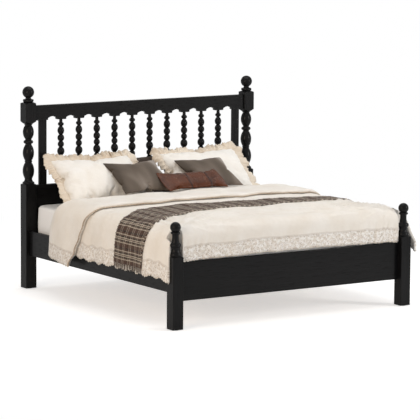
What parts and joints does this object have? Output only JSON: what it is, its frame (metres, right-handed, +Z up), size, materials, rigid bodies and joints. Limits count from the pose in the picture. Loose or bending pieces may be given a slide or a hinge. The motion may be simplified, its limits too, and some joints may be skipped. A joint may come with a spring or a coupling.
{
  "type": "spindle bed",
  "caption": "King-size four-post spindle bed with a scalloped crest rail, low footboard, side rails, slats, mattress and bedding.",
  "frame": {"origin": "on the floor, under the middle of the bed, centred between the outer faces of the posts", "axes": "+X to the right as seen from the foot of the bed, +Y to the headboard, +Z up"},
  "size_m": [2.1392, 2.168, 1.5398],
  "materials": {
    "black_painted_wood": "satin black paint over open-grained wood",
    "pine": "planed, unfinished",
    "zinc_plated_steel": "zinc plated",
    "levelling_foot_steel": "zinc plated, matt",
    "felt": "pressed felt",
    "mattress_cover": "knitted cover",
    "ivory_cotton": "washed cotton with a lace hem",
    "plaid_wool": "woven brown, cream and black plaid with a fringe",
    "ruffled_cotton": "washed cotton with a ruffle",
    "taupe_velvet": "short-pile velvet",
    "brown_leather": "worn leather with two cross seams",
    "dark_brown_cloth": "dark brown cloth"
  },
  "bodies": {
    "bed": {"beam_brackets": "zinc_plated_steel", "centre_beam": "pine", "centre_leg": "pine", "duvet": "ivory_cotton", "floor_glides": "felt", "foot_post_left": "black_painted_wood", "foot_post_right": "black_painted_wood", "footboard_cap": "black_painted_wood", "footboard_panel": "black_painted_wood", "head_post_left": "black_painted_wood", "head_post_right": "black_painted_wood", "headboard_crest_rail": "black_painted_wood", "headboard_panel": "black_painted_wood", "headboard_sill_rail": "black_painted_wood", "headboard_stile_left": "black_painted_wood", "headboard_stile_right": "black_painted_wood", "leg_bolt": "zinc_plated_steel", "leg_insert": "zinc_plated_steel", "lumbar_cushion": "brown_leather", "mattress": "mattress_cover", "plate_screws": "zinc_plated_steel", "post_hook_plates": "zinc_plated_steel", "rail_hook_plates": "zinc_plated_steel", "rear_cushion": "dark_brown_cloth", "sham_left": "ruffled_cotton", "sham_right": "ruffled_cotton", "side_ledger_left": "pine", "side_ledger_right": "pine", "side_rail_left": "black_painted_wood", "side_rail_right": "black_painted_wood", "slat_01": "pine", "slat_02": "pine", "slat_03": "pine", "slat_04": "pine", "slat_05": "pine", "slat_06": "pine", "slat_07": "pine", "slat_08": "pine", "slat_09": "pine", "slat_10": "pine", "slat_11": "pine", "spindle_01": "black_painted_wood", "spindle_02": "black_painted_wood", "spindle_03": "black_painted_wood", "spindle_04": "black_painted_wood", "spindle_05": "black_painted_wood", "spindle_06": "black_painted_wood", "spindle_07": "black_painted_wood", "spindle_08": "black_painted_wood", "spindle_09": "black_painted_wood", "spindle_10": "black_painted_wood", "throw": "plaid_wool", "timber_screws": "zinc_plated_steel", "velvet_cushion_left": "taupe_velvet", "velvet_cushion_right": "taupe_velvet"},
    "levelling_foot": {"levelling_foot": "levelling_foot_steel"}
  },
  "joints": [
    {"name": "levelling_foot_slide", "type": "slide", "parent": "bed", "child": "levelling_foot", "axis": [0, 0, -1], "range_m": [0, 0.02]}
  ]
}
